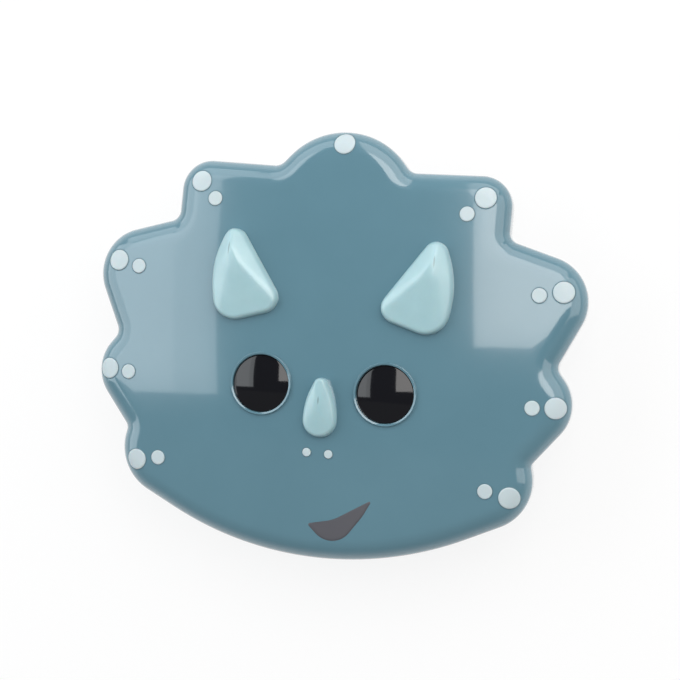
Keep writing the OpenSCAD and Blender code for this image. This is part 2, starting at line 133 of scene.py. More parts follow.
def piece_of(name, shells, material, smooth_angle=SMOOTH_ANGLE):
    """One object at the origin from a list of (points in millimetres, faces), shaded smooth
    where its faces meet at less than the angle."""
    points, faces, offset = [], [], 0
    for shell_points, shell_faces in shells:
        points.append(np.asarray(shell_points) * MM)
        faces += [[corner + offset for corner in face] for face in shell_faces]
        offset += len(shell_points)
    mesh = bpy.data.meshes.new(name)
    mesh.from_pydata(np.concatenate(points).tolist(), [], faces)
    mesh.update()
    mesh.materials.append(material)
    piece = bpy.data.objects.new(name, mesh)
    bpy.context.collection.objects.link(piece)
    mesh.shade_smooth()
    mesh.set_sharp_from_angle(angle=np.radians(smooth_angle))
    return piece


def round_oval(section):
    """Carries an (out, up) section round the oval: each of its points becomes a ring that
    lies out from the oval's spine, the straight line between its two round ends."""
    angle = np.linspace(0, 2 * np.pi, OVAL_POINTS, endpoint=False)
    out = np.stack([np.cos(angle), np.sin(angle)], axis=1)
    spine = np.stack([HALF_STRAIGHT * np.sign(np.round(out[:, 0], 9)), 0 * angle], axis=1)
    flat = OVAL_MIDDLE + spine + section[:, 0, None, None] * out
    up = np.broadcast_to(section[:, 1, None, None], flat.shape[:2] + (1,))
    return np.concatenate([flat, up], axis=2)


def inner_radius(z):
    """The inner wall's distance from the spine at a height: it leans evenly to the foot."""
    return RIM_INNER - LEAN * (TRAY_TOP - z) / TRAY_TOP


def add_socket(group, name, kind, way, value=None):
    """One named socket on a shader node group."""
    socket = group.interface.new_socket(name=name, in_out=way,
                                        socket_type="NodeSocket" + kind)
    if value is not None:
        socket.default_value = value


def surface_group():
    """The finish that moulded plastic and rubber share. Two tones mix in broad patches, the
    roughness drifts round its middle value, and a fine grain gives the height for a bump."""
    group = bpy.data.node_groups.new("moulded_surface", "ShaderNodeTree")
    add_socket(group, "Deep tone", "Color", "INPUT")
    add_socket(group, "Pale tone", "Color", "INPUT")
    add_socket(group, "Patch scale", "Float", "INPUT", 22.0)
    add_socket(group, "Roughness", "Float", "INPUT", 0.3)
    add_socket(group, "Roughness drift", "Float", "INPUT", 0.08)
    add_socket(group, "Grain scale", "Float", "INPUT", 1500.0)
    add_socket(group, "Colour", "Color", "OUTPUT")
    add_socket(group, "Roughness", "Float", "OUTPUT")
    add_socket(group, "Grain", "Float", "OUTPUT")
    nodes, links = group.nodes, group.links
    given = nodes.new("NodeGroupInput")
    made = nodes.new("NodeGroupOutput")
    place = nodes.new("ShaderNodeTexCoord")
    patches = nodes.new("ShaderNodeTexNoise")
    patches.inputs["Detail"].default_value = 4
    patches.inputs["Roughness"].default_value = 0.6
    tones = nodes.new("ShaderNodeMix")
    tones.data_type = "RGBA"
    drift = nodes.new("ShaderNodeTexNoise")
    drift.inputs["Scale"].default_value = 95
    drift.inputs["Detail"].default_value = 6
    centred = nodes.new("ShaderNodeMath")
    centred.operation = "SUBTRACT"
    centred.inputs[1].default_value = 0.5
    rough = nodes.new("ShaderNodeMath")
    rough.operation = "MULTIPLY_ADD"
    grain = nodes.new("ShaderNodeTexNoise")
    grain.inputs["Detail"].default_value = 3
    for noise in (patches, drift, grain):
        links.new(place.outputs["Object"], noise.inputs["Vector"])
    links.new(given.outputs["Patch scale"], patches.inputs["Scale"])
    links.new(given.outputs["Grain scale"], grain.inputs["Scale"])
    links.new(patches.outputs["Fac"], tones.inputs["Factor"])
    links.new(given.outputs["Deep tone"], tones.inputs["A"])
    links.new(given.outputs["Pale tone"], tones.inputs["B"])
    links.new(drift.outputs["Fac"], centred.inputs[0])
    links.new(centred.outputs[0], rough.inputs[0])
    links.new(given.outputs["Roughness drift"], rough.inputs[1])
    links.new(given.outputs["Roughness"], rough.inputs[2])
    links.new(tones.outputs["Result"], made.inputs["Colour"])
    links.new(rough.outputs[0], made.inputs["Roughness"])
    links.new(grain.outputs["Fac"], made.inputs["Grain"])
    return group


def scuff_group():
    """Faint marks of handling. Two stretched noises give short hairlines, sharpened to a
    thin mask; the mask lifts the roughness that comes in."""
    group = bpy.data.node_groups.new("handling_marks", "ShaderNodeTree")
    add_socket(group, "Roughness", "Float", "INPUT", 0.3)
    add_socket(group, "Amount", "Float", "INPUT", 0.1)
    add_socket(group, "Roughness", "Float", "OUTPUT")
    nodes, links = group.nodes, group.links
    given = nodes.new("NodeGroupInput")
    made = nodes.new("NodeGroupOutput")
    place = nodes.new("ShaderNodeTexCoord")
    marks = []
    for turn, scale in ((0.5, (900, 40, 40)), (-0.9, (60, 1100, 50))):
        aim = nodes.new("ShaderNodeMapping")
        aim.inputs["Rotation"].default_value = (0, 0, turn)
        aim.inputs["Scale"].default_value = scale
        lines = nodes.new("ShaderNodeTexNoise")
        lines.inputs["Scale"].default_value = 1
        lines.inputs["Detail"].default_value = 2
        sharp = nodes.new("ShaderNodeMapRange")
        sharp.inputs["From Min"].default_value = 0.66
        sharp.inputs["From Max"].default_value = 0.76
        links.new(place.outputs["Object"], aim.inputs["Vector"])
        links.new(aim.outputs["Vector"], lines.inputs["Vector"])
        links.new(lines.outputs["Fac"], sharp.inputs["Value"])
        marks.append(sharp)
    either = nodes.new("ShaderNodeMath")
    either.operation = "MAXIMUM"
    lifted = nodes.new("ShaderNodeMath")
    lifted.operation = "MULTIPLY_ADD"
    links.new(marks[0].outputs["Result"], either.inputs[0])
    links.new(marks[1].outputs["Result"], either.inputs[1])
    links.new(either.outputs[0], lifted.inputs[0])
    links.new(given.outputs["Amount"], lifted.inputs[1])
    links.new(given.outputs["Roughness"], lifted.inputs[2])
    links.new(lifted.outputs[0], made.inputs["Roughness"])
    return group


moulded_surface = surface_group()
handling_marks = scuff_group()


def finish_of(name, deep, pale, roughness, drift=0.06, patch=22, grain=1500, bump=0.02,
              marks=0.08, **settings):
    """A material on the shared finish: the moulded surface, with handling marks on its
    roughness and its grain as a bump, bump millimetres high. Further settings go straight
    to the shader's own sockets."""
    material = bpy.data.materials.new(name)
    material.use_nodes = True
    nodes, links = material.node_tree.nodes, material.node_tree.links
    shader = nodes["Principled BSDF"]
    surface = nodes.new("ShaderNodeGroup")
    surface.node_tree = moulded_surface
    surface.inputs["Deep tone"].default_value = linear(deep)
    surface.inputs["Pale tone"].default_value = linear(pale)
    surface.inputs["Patch scale"].default_value = patch
    surface.inputs["Roughness"].default_value = roughness
    surface.inputs["Roughness drift"].default_value = drift
    surface.inputs["Grain scale"].default_value = grain
    scuffs = nodes.new("ShaderNodeGroup")
    scuffs.node_tree = handling_marks
    scuffs.inputs["Amount"].default_value = marks
    relief = nodes.new("ShaderNodeBump")
    relief.inputs["Strength"].default_value = 1
    relief.inputs["Distance"].default_value = bump * MM
    links.new(surface.outputs["Colour"], shader.inputs["Base Color"])
    links.new(surface.outputs["Roughness"], scuffs.inputs["Roughness"])
    links.new(scuffs.outputs["Roughness"], shader.inputs["Roughness"])
    links.new(surface.outputs["Grain"], relief.inputs["Height"])
    links.new(relief.outputs["Normal"], shader.inputs["Normal"])
    for socket, value in settings.items():
        shader.inputs[socket.replace("_", " ").title()].default_value = value
    return material


foot_radius = inner_radius(0) + TRAY_WALL
neck_height = TRAY_TOP - FLANGE - RIM_WIDTH + TRAY_WALL
tray_section = rounded([
    (MIDDLE_RING, FOOT_HEIGHT, 0),
    (foot_radius - FLOOR_ROUNDING / 2 - FOOT_WIDTH, FOOT_HEIGHT, 0.4),
    (foot_radius - FLOOR_ROUNDING / 2 - FOOT_WIDTH, 0, 0.3),
    (foot_radius - FLOOR_ROUNDING / 2, 0, 0.8),
    (foot_radius, FLOOR_ROUNDING, FLOOR_ROUNDING),
    (inner_radius(neck_height) + TRAY_WALL, neck_height, 0.6),
    (RIM_RADIUS, TRAY_TOP - FLANGE, 0.4),
    (RIM_RADIUS, TRAY_TOP, 0.5),
    (RIM_INNER, TRAY_TOP, 0.5),
    (inner_radius(FLOOR_TOP), FLOOR_TOP, FLOOR_ROUNDING),
    (MIDDLE_RING, FLOOR_TOP, 0)])
tray_plastic = finish_of("tray_plastic", TEAL_DEEP, TEAL_PALE, TRAY_ROUGHNESS,
                         coat_weight=0.15, coat_roughness=0.25)
tray_skin = stacked(round_oval(tray_section), (*OVAL_MIDDLE, FOOT_HEIGHT),
                    (*OVAL_MIDDLE, FLOOR_TOP))
tray = piece_of("tray_shell", [tray_skin], tray_plastic)
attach(tray, "tray")
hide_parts("base_tray")


# ---------------------------------------------------------------------------------------
# The guide ribs: four pairs of upright ribs, moulded on the inside of the tray's wall. Each
# pair holds one end of a divider between them.
# ---------------------------------------------------------------------------------------
DIVIDER = 2.0                           # thickness
GUIDE_GAP = 0.25
GUIDE_REACH = 2.5
GUIDE = 1.6
DIVIDER_TOP = 33.2
GUIDE_ROOT = 0.5                        # how far a rib's foot reaches into the floor
SOFT_EDGE = 0.3                         # the moulded radius on thin edges


def plate(outline, thickness, across=0.0):
    """A flat plate that stands on edge: an (along, up) outline, drawn counter-clockwise and
    given a thickness across it, at a distance across from the middle line."""
    count = len(outline)
    along, up = outline[:, 0], outline[:, 1]
    sides = [np.stack([along, np.full(count, across + half), up], axis=1)
             for half in (thickness / 2, -thickness / 2)]
    here = np.arange(count)
    after = (here + 1) % count
    rim = np.stack([here, after, count + after, count + here], axis=1)
    return (np.concatenate(sides),
            rim.tolist() + [here[::-1].tolist(), (count + here).tolist()])


def turned(shell, quarter_turns):
    """The same shell turned about the tray's upright middle line, in quarter turns."""
    points, faces = shell
    for _ in range(quarter_turns):
        points = points[:, (1, 0, 2)] * (-1, 1, 1)
    return points + (*OVAL_MIDDLE, 0), faces


def soften(piece):
    """Rounds a plate's edges, as a mould does."""
    bevel = piece.modifiers.new("soft edge", "BEVEL")
    bevel.width = SOFT_EDGE * MM
    bevel.segments = 2
    bevel.limit_method = "ANGLE"
    bevel.angle_limit = np.radians(SMOOTH_ANGLE)


def guide_rib(reach, side):
    """One upright rib. Its inner edge keeps the same distance from the leaning wall, and
    its back lies inside the wall."""
    knee = FLOOR_TOP + FLOOR_ROUNDING
    outline = np.array([
        (inner_radius(FLOOR_TOP) - FLOOR_ROUNDING - GUIDE_REACH, FLOOR_TOP - GUIDE_ROOT),
        (inner_radius(FLOOR_TOP) - FLOOR_ROUNDING / 2, FLOOR_TOP - GUIDE_ROOT),
        (inner_radius(knee) + TRAY_WALL / 2, knee),
        (inner_radius(DIVIDER_TOP) + TRAY_WALL / 2, DIVIDER_TOP),
        (inner_radius(DIVIDER_TOP) - GUIDE_REACH, DIVIDER_TOP),
        (inner_radius(knee) - GUIDE_REACH, knee)]) + (reach, 0)
    return plate(outline, GUIDE, side * (DIVIDER / 2 + GUIDE_GAP + GUIDE / 2))


ribs = piece_of("tray_guide_ribs",
                [turned(guide_rib(HALF_STRAIGHT if turn % 2 == 0 else 0, side), turn)
                 for turn in range(4) for side in (-1, 1)], tray_plastic)
soften(ribs)
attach(ribs, "tray")


# ---------------------------------------------------------------------------------------
# The dividers: two flat frosted plates that cross in the middle, each with half of the
# joint cut from it. They stand between the guide ribs and lift straight out.
# ---------------------------------------------------------------------------------------
DIVIDER_FOOT = 3.3
DIVIDER_CORNER = 2.0
FOOT_CORNER = 6.3
JOINT_HEIGHT = (DIVIDER_FOOT + DIVIDER_TOP) / 2
JOINT_HALF = DIVIDER / 2 + GUIDE_GAP
FROST_DEEP = (214, 226, 228)
FROST_PALE = (228, 237, 238)


def divider_outline(reach, slot_from_top):
    """The outline of one divider: a wide plate that follows the tray's leaning wall, with
    an upright slot to mid-height from its top or from its foot."""
    top = reach + inner_radius(DIVIDER_TOP) - GUIDE_GAP
    foot = reach + inner_radius(DIVIDER_FOOT) - GUIDE_GAP
    end = JOINT_HEIGHT + (-1 if slot_from_top else 1) * GUIDE_GAP / 2
    opening = DIVIDER_TOP if slot_from_top else DIVIDER_FOOT
    lower = [(-foot, DIVIDER_FOOT, FOOT_CORNER)]
    upper = [(foot, DIVIDER_FOOT, FOOT_CORNER), (top, DIVIDER_TOP, DIVIDER_CORNER)]
    last = [(-top, DIVIDER_TOP, DIVIDER_CORNER)]
    slot = [(JOINT_HALF, opening, 0), (JOINT_HALF, end, 0), (-JOINT_HALF, end, 0),
            (-JOINT_HALF, opening, 0)]
    corners = (lower + upper + slot + last if slot_from_top
               else lower + slot[::-1] + upper + last)
    return rounded(corners)


divider_plastic = finish_of("divider_plastic", FROST_DEEP, FROST_PALE, 0.42, patch=30,
                            marks=0.12, subsurface_weight=0.12, subsurface_scale=0.002)
for body, node, reach, from_top, turns in (
        ("long_divider", "divider_long", HALF_STRAIGHT, True, 0),
        ("cross_divider", "divider_cross", 0.0, False, 1)):
    divider = piece_of(node + "_plate",
                       [turned(plate(divider_outline(reach, from_top), DIVIDER), turns)],
                       divider_plastic)
    soften(divider)
    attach(divider, body)
    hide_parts(node)


# ---------------------------------------------------------------------------------------
# The seal: a soft ring of pale silicone, pressed between the two ribs under the lid. Its
# two lower edges are rounded, and it closes on the tray's rim.
# ---------------------------------------------------------------------------------------
RIM_GAP = 0.3
RIB_OUTER = RIM_RADIUS + RIM_GAP        # the outer rib's inner wall
SEAL_WIDTH = 3.65
SEAL_GAP = 0.15
SEAL_HEIGHT = 2.6
SEAL_ROUNDING = 0.8
SEAL_TOP_ROUNDING = 0.2
SEAL_DEEP = (206, 221, 224)
SEAL_PALE = (222, 233, 235)
CHANNEL_INNER = RIB_OUTER - SEAL_WIDTH - 2 * SEAL_GAP
CHANNEL_TOP = TRAY_TOP + SEAL_HEIGHT


def closed_ring_faces(rings, columns):
    """The quads of a ring-shaped skin: a stack of closed rings whose last joins the first."""
    here = np.arange(columns)
    after = (here + 1) % columns
    last = (rings - 1) * columns
    closing = np.stack([last + here, last + after, after, here], axis=1)
    return ring_faces(rings, columns).tolist() + closing.tolist()


seal_out = CHANNEL_INNER + SEAL_GAP
seal_section = rounded([
    (seal_out, TRAY_TOP, SEAL_ROUNDING), (seal_out + SEAL_WIDTH, TRAY_TOP, SEAL_ROUNDING),
    (seal_out + SEAL_WIDTH, CHANNEL_TOP, SEAL_TOP_ROUNDING),
    (seal_out, CHANNEL_TOP, SEAL_TOP_ROUNDING)])
seal_rings = round_oval(seal_section)
seal_skin = seal_rings.reshape(-1, 3), closed_ring_faces(len(seal_rings), OVAL_POINTS)
seal_silicone = finish_of("seal_silicone", SEAL_DEEP, SEAL_PALE, 0.5, drift=0.1, grain=900,
                          marks=0.0, subsurface_weight=0.2, subsurface_scale=0.002)
seal = piece_of("seal_ring", [seal_skin], seal_silicone)
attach(seal, "lid")
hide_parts("lid_seal")


# ---------------------------------------------------------------------------------------
# The lid: one moulded shell of glossy blue-teal plastic whose outline is the frill round the
# animal's head. Its top is crowned, its edge rolls over into a short skirt, and two ribs
# under it hold the seal. The pockets for the eyes are cut in the eyes' own section.
# ---------------------------------------------------------------------------------------
FACE_SHIFT = np.array([0, 0.222])       # from the outline's own frame to the object's middle
CREST_LOBE = (0, 92.6, 27.5)            # each corner of the outline: x, y, rounding
CREST_NOTCH = (24.2, 64, 5)
BROW_LOBE = (61.2, 64.8, 11)
BROW_NOTCH = (61.2, 42.3, 4)
FRILL_LOBE = (97.1, 31.9, 16.5)
FRILL_NOTCH = (81.3, -1.3, 4)
CHEEK_LOBE = (92, -14.8, 15.2)
CHEEK_NOTCH = (75.2, -36, 3)
JAW_LOBE = (79.2, -52.6, 18)
CHIN = (0, -91, 125)
LID_WALL = 2.2
EDGE_WIDTH = 8.0
EDGE_HEIGHT = 6.0
CROWN = 4.0
LID_TOP = 47.5
SKIRT_FOOT = 31.5
RIB_FOOT = 33.5
RIB = 1.6
HALF_WIDTH = 90.355
HALF_LENGTH = 77.305
THIN_ROUND = 0.5                        # the moulded radius on the skirt's and ribs' feet


def mirrored(corner):
    """The same corner on the other side of the face."""
    return (-corner[0], *corner[1:])


def face_outline(turn_step=4.0, longest=3.0):
    """The closed outline of the face, counter-clockwise, as points and outward normals.
    Rounded corners take one point every few degrees or millimetres, whichever is closer,
    and the straight stretches between them one every few millimetres."""
    side = [JAW_LOBE, CHEEK_NOTCH, CHEEK_LOBE, FRILL_NOTCH, FRILL_LOBE, BROW_NOTCH,
            BROW_LOBE, CREST_NOTCH]
    corners = [CHIN] + side + [CREST_LOBE] + [mirrored(corner) for corner in side[::-1]]
    points, normals = [], []
    for i, corner in enumerate(corners):
        ends = corner_arc(corners[i - 1], corner, corners[(i + 1) % len(corners)],
                          corner[2], 2)[1]
        turn = np.arccos(np.clip(ends[0] @ ends[1], -1, 1))
        steps = int(np.ceil(max(np.degrees(turn) / turn_step, turn * corner[2] / longest)))
        arc, out = corner_arc(corners[i - 1], corner, corners[(i + 1) % len(corners)],
                              corner[2], steps + 1)
        points.append(arc)
        normals.append(out)
    whole, outward = [], []
    for i, arc in enumerate(points):
        following = points[(i + 1) % len(points)][0]
        spans = max(1, int(np.linalg.norm(following - arc[-1]) // longest))
        share = np.linspace(0, 1, spans, endpoint=False)[1:, None]
        whole += [arc, arc[-1] + (following - arc[-1]) * share]
        outward += [normals[i], np.repeat(normals[i][-1:], spans - 1, axis=0)]
    return np.concatenate(whole) - FACE_SHIFT, np.concatenate(outward)


face, face_out = face_outline()


def side_distance(p, outline):
    """The distance from each point to the nearest side of a closed outline."""
    span = np.roll(outline, -1, axis=0) - outline
    away = p[:, None, :] - outline
    along = np.clip((away * span).sum(2) / (span * span).sum(1), 0, 1)
    return np.linalg.norm(away - along[..., None] * span, axis=2).min(1)


def crown_height(p):
    """The crowned top: it falls with the square of the distance from the middle."""
    return LID_TOP - CROWN * ((p[..., 0] / HALF_WIDTH) ** 2 + (p[..., 1] / HALF_LENGTH) ** 2)


def skin_height(p, lift=0.0):
    """The lid's outer skin, or the surface that lies lift outside it: the crown, less the
    drop of the rolled edge, which is a quarter of an ellipse across the edge's width."""
    u = np.clip(1 - (side_distance(p, face) + lift) / (EDGE_WIDTH + lift), 0, 1)
    return crown_height(p) + lift - (EDGE_HEIGHT + lift) * (1 - np.sqrt(1 - u * u))


def at(p, height):
    """The plan points p at a height, or at a height for each."""
    up = np.broadcast_to(np.reshape(height, (-1, 1)), (len(p), 1))
    return np.concatenate([p, up], axis=1)


def inset(distance):
    """The outline moved inwards along its normals."""
    return face - distance * face_out


def oval_ring(radius):
    """The oval at a radius, with one point in the direction of each point of the outline."""
    nearest = np.clip(face[:, 0], -HALF_STRAIGHT, HALF_STRAIGHT)
    spine = np.stack([nearest, 0 * nearest], axis=1) + (0, OVAL_MIDDLE[1])
    away = face - spine
    return spine + radius * away / np.linalg.norm(away, axis=1, keepdims=True)


rib_outer_ring = oval_ring(RIB_OUTER + RIB)
wall_ring = inset(LID_WALL)
bend = np.radians([0, 30, 60, 90])


def foot_round(inner, outer, foot):
    """The three-step round of a thin wall's two lower corners, from one side to the other."""
    steps = [(THIN_ROUND * (1 - np.cos(a)), THIN_ROUND * (1 - np.sin(a))) for a in bend]
    down = [(inner + aside, foot + up) for aside, up in steps]
    return down + [(outer - aside, foot + up) for aside, up in steps[::-1]]


underside = [at(oval_ring(radius), skin_height(oval_ring(radius), -LID_WALL))
             for radius in np.linspace(4, CHANNEL_INNER - RIB, 9)]
underside += [at(oval_ring(radius), z)
              for radius, z in foot_round(CHANNEL_INNER - RIB, CHANNEL_INNER, RIB_FOOT)]
underside += [at(oval_ring(radius), CHANNEL_TOP) for radius in (CHANNEL_INNER, RIB_OUTER)]
underside += [at(oval_ring(radius), z)
              for radius, z in foot_round(RIB_OUTER, RIB_OUTER + RIB, RIB_FOOT)]
for share in (0, 0.15, 0.3, 0.45, 0.6, 0.72, 0.82, 0.9, 0.96, 0.99):
    plan = rib_outer_ring + share * (wall_ring - rib_outer_ring)
    underside.append(at(plan, skin_height(plan, -LID_WALL)))
underside.append(at(wall_ring, crown_height(wall_ring) - EDGE_HEIGHT))
skirt = [at(inset(distance), z) for distance, z in
         [(LID_WALL - d, z) for d, z in foot_round(0, LID_WALL, SKIRT_FOOT)]]
skirt.append(at(face, (SKIRT_FOOT + LID_TOP - CROWN - EDGE_HEIGHT) / 2))
roll = []
for angle in np.linspace(0, np.pi / 2, 15):
    plan = inset(EDGE_WIDTH * (1 - np.cos(angle)))
    roll.append(at(plan, crown_height(plan) - EDGE_HEIGHT * (1 - np.sin(angle))))
crown = []
for share in np.linspace(1, 0, 26)[1:-1]:
    plan = OVAL_MIDDLE + share * (inset(EDGE_WIDTH) - OVAL_MIDDLE)
    crown.append(at(plan, crown_height(plan)))
middle_top = crown_height(OVAL_MIDDLE)
lid_plastic = finish_of("lid_plastic", TEAL_DEEP, TEAL_PALE, 0.14, drift=0.04, bump=0.002,
                        marks=0.04, coat_weight=1.0, coat_roughness=0.04)
lid_skin = stacked(underside + skirt + roll + crown,
                   (*OVAL_MIDDLE, middle_top - LID_WALL), (*OVAL_MIDDLE, middle_top))
lid = piece_of("lid_moulding", [lid_skin], lid_plastic)
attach(lid, "lid")
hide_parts("lid_shell")


# ---------------------------------------------------------------------------------------
# The brow horns: two solid thorns of soft silicone, pale mint. Each has one broad face, a
# steep face towards the middle and a narrow one outside, and is held by two pegs that pass
# through the lid and end in flat heads.
# ---------------------------------------------------------------------------------------
HORN_CORNERS = [(15.4, 12.2, 5.8), (41.7, 4.3, 8.5), (45.5, 26.1, 38), (37.7, 44.4, 4.5)]
HORN_PEAK = np.array([37, 31.5])
HORN_HEIGHT = 6.5
HORN_SIDE = 2.6
HORN_ROUND = 1.3                        # width of the rounding round a horn's foot
HORN_PEGS = [(36.5, 29), (31, 15.5)]
PEG = 4.0
HEAD = 7.0
HEAD_THICKNESS = 1.4
HEAD_GAP = 0.3
HORN_ROOT = 0.15                        # how far a horn's foot reaches into the lid
HORN_BLEND = 0.6                        # softness of the ridges between a horn's faces
CREASE_SHADE_PLACE = (37.3, 32.0)
HORN_MINT_DEEP = (148, 185, 192)
HORN_MINT_PALE = (166, 200, 206)


def line_distance(p, a, b):
    """The distance from each point to the straight line through a and b."""
    way = (b - a) / np.linalg.norm(b - a)
    return np.abs((p[..., 0] - a[0]) * way[1] - (p[..., 1] - a[1]) * way[0])


def thorn(corners, peak, height, side, blend, edges, rings=26):
    """A low thorn on the lid. Its faces are planes that rise from the outline's sides to the
    peak, joined by a soft minimum, -blend * log(sum of exp(-height / blend)), and stand on
    a foot whose edge is a quarter round of the side's height."""
    corners = [(x, y - FACE_SHIFT[1], r) for x, y, r in corners]
    peak = peak - FACE_SHIFT
    outline = rounded(corners, 15)
    flat = np.array(corners)[:, :2]
    rise = height - side

    def faces_height(p):
        planes = np.stack([rise * line_distance(p, flat[a], flat[b])
                           / line_distance(peak, flat[a], flat[b]) for a, b in edges])
        return -blend * np.log(np.exp(-planes / blend).sum(0))

    at_peak = faces_height(peak[None, :])[0]
    foot = [at(plan, crown_height(plan) - HORN_ROOT)
            for plan in (peak + share * (outline - peak) for share in (0.35, 0.7, 1.0))]
    body = []
    for share in np.linspace(0, 1, rings, endpoint=False) ** 1.6:
        plan = peak + (1 - share) * (outline - peak)
        d = side_distance(plan, outline) if share else np.zeros(len(plan))
        u = np.clip(1 - d / HORN_ROUND, 0, 1)
        slope = rise * np.clip(faces_height(plan), 0, None) / at_peak
        lift = side * np.sqrt(1 - u * u) + slope
        body.append(at(plan, crown_height(plan) + np.minimum(lift, height)))
    return stacked(foot + body, (*peak, crown_height(peak) - HORN_ROOT),
                   (*peak, crown_height(peak) + height))


def turned_profile(profile, middle, count=48):
    """A surface of revolution: an (out, up) profile carried round an upright line. Its two
    ends lie on the line."""
    angle = np.linspace(0, 2 * np.pi, count, endpoint=False)
    ring = np.stack([np.cos(angle), np.sin(angle)], axis=1)
    inner = profile[1:-1]
    rings = [np.concatenate([middle + out * ring, np.full((count, 1), up)], axis=1)
             for out, up in inner]
    return stacked(rings, (*middle, profile[0][1]), (*middle, profile[-1][1]))


def peg_with_head(place, top):
    """A peg through the lid: from inside the piece down to a flat rounded head under it."""
    place = np.asarray(place, float) - FACE_SHIFT
    under = crown_height(place) - LID_WALL - HEAD_GAP
    foot = under - HEAD_THICKNESS
    profile = rounded([(0, foot, 0), (HEAD / 2, foot, 0.4), (HEAD / 2, under, 0.3),
                       (PEG / 2, under, 0), (PEG / 2, crown_height(place) + top, 0),
                       (0, crown_height(place) + top, 0)], 5)
    return turned_profile(profile, place)


def flipped(shell):
    """The shell's mirror image on the other side of the face, turned to face outwards."""
    points, faces = shell
    return points * (-1, 1, 1), [face[::-1] for face in faces]


def painted_crease_shade(material, place, width, length):
    """A painted shadow of the crease near a peak: a short dark line in the rubber's colour,
    in a thin ellipse round a place of the plan, and round its mirror image."""
    nodes, links = material.node_tree.nodes, material.node_tree.links
    where = nodes.new("ShaderNodeTexCoord")
    folded = nodes.new("ShaderNodeVectorMath")
    folded.operation = "ABSOLUTE"
    away = nodes.new("ShaderNodeVectorMath")
    away.operation = "SUBTRACT"
    away.inputs[1].default_value = (abs(place[0]) * MM, abs(place[1]) * MM, 0)
    scaled = nodes.new("ShaderNodeVectorMath")
    scaled.operation = "MULTIPLY"
    scaled.inputs[1].default_value = (2 / (width * MM), 2 / (length * MM), 0)
    reach = nodes.new("ShaderNodeVectorMath")
    reach.operation = "LENGTH"
    mask = nodes.new("ShaderNodeMapRange")
    mask.inputs["From Min"].default_value = 0.5
    mask.inputs["From Max"].default_value = 1.1
    mask.inputs["To Min"].default_value = 0.55
    mask.inputs["To Max"].default_value = 1.0
    shade = nodes.new("ShaderNodeVectorMath")
    shade.operation = "SCALE"
    base = nodes["Principled BSDF"].inputs["Base Color"]
    links.new(where.outputs["Object"], folded.inputs[0])
    links.new(folded.outputs[0], away.inputs[0])
    links.new(away.outputs[0], scaled.inputs[0])
    links.new(scaled.outputs[0], reach.inputs[0])
    links.new(reach.outputs["Value"], mask.inputs["Value"])
    links.new(base.links[0].from_socket, shade.inputs[0])
    links.new(mask.outputs["Result"], shade.inputs["Scale"])
    links.new(shade.outputs[0], base)


horn_silicone = finish_of("horn_silicone", HORN_MINT_DEEP, HORN_MINT_PALE, 0.32, drift=0.08,
                          patch=120, grain=2200, bump=0.022, marks=0.0, coat_weight=1.0,
                          coat_roughness=0.25, subsurface_weight=0.08,
                          subsurface_scale=0.002)
# Painted shade: a short dark line near each brow horn's peak.
painted_crease_shade(horn_silicone, CREASE_SHADE_PLACE, 0.7, 5.0)
horn = [thorn(HORN_CORNERS, HORN_PEAK, HORN_HEIGHT, HORN_SIDE, HORN_BLEND,
              [(3, 0), (0, 1), (1, 2), (2, 3)])]
horn += [peg_with_head(place, HORN_SIDE / 2) for place in HORN_PEGS]
for node, shells in (("horn_right", horn), ("horn_left", [flipped(shell) for shell in horn])):
    brow_horn = piece_of(node + "_thorn", shells, horn_silicone, 60)
    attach(brow_horn, "lid")
    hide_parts(node)


# ---------------------------------------------------------------------------------------
# The nose horn: a small drop-shaped thorn of the same silicone, with its point towards the
# brow and one peg through the lid.
# ---------------------------------------------------------------------------------------
NOSE_CORNERS = [(0, -8.1, 2.7), (-6.2, -20.5, 24.5), (-6.2, -32.7, 6), (6.2, -32.7, 6),
                (6.2, -20.5, 24.5)]
NOSE_PEAK = np.array([0, -20.4])
NOSE_HEIGHT = 5.0
NOSE_PEG = (0, -26)
NOSE_BLEND = 0.7
NOSE_CREASE_SHADE_PLACE = (0, -19.6)

# Painted shade: a short dark line near the nose horn's peak.
painted_crease_shade(horn_silicone, NOSE_CREASE_SHADE_PLACE, 0.6, 3.0)
nose = piece_of("nose_horn_thorn",
                [thorn(NOSE_CORNERS, NOSE_PEAK, NOSE_HEIGHT, HORN_SIDE, NOSE_BLEND,
                       [(1, 2), (2, 3), (3, 4)]),
                 peg_with_head(NOSE_PEG, HORN_SIDE / 2)], horn_silicone, 60)
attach(nose, "lid")
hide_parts("nose_horn")


# ---------------------------------------------------------------------------------------
# The eyes: two domed buttons of polished near-black plastic. Each sits sunk in a shallow
# pocket of the lid with a fine raised lip, and a peg with a head holds it from below.
# ---------------------------------------------------------------------------------------
EYE = 20.6
EYE_PLACE = np.array([22.8, -15.4])
EYE_HEIGHT = 1.0                        # the dome's top above the lid's skin
EYE_SIDE = -0.2                         # the dome's edge, below the skin
EYE_SINK = 0.8                          # the pocket's depth
EYE_GAP = 0.2
EYE_ROUNDING = 0.3
LIP_WIDTH = 0.9                         # the raised lip of the lid round the pocket
LIP_HEIGHT = 0.9
LIP_DISH = 0.22                         # how far the lip's top falls towards the eye
LIP_CREST = 0.74                        # the lip's crest, as a share of its width
LIP_ROOT = 0.3                          # how far the lip reaches into the lid
CUTTER_TOP = 2                          # the pocket cutter's top, clear of the lid
EYE_POINTS = 128
EYE_BLACK_DEEP = (10, 11, 15)
EYE_BLACK_PALE = (15, 16, 21)

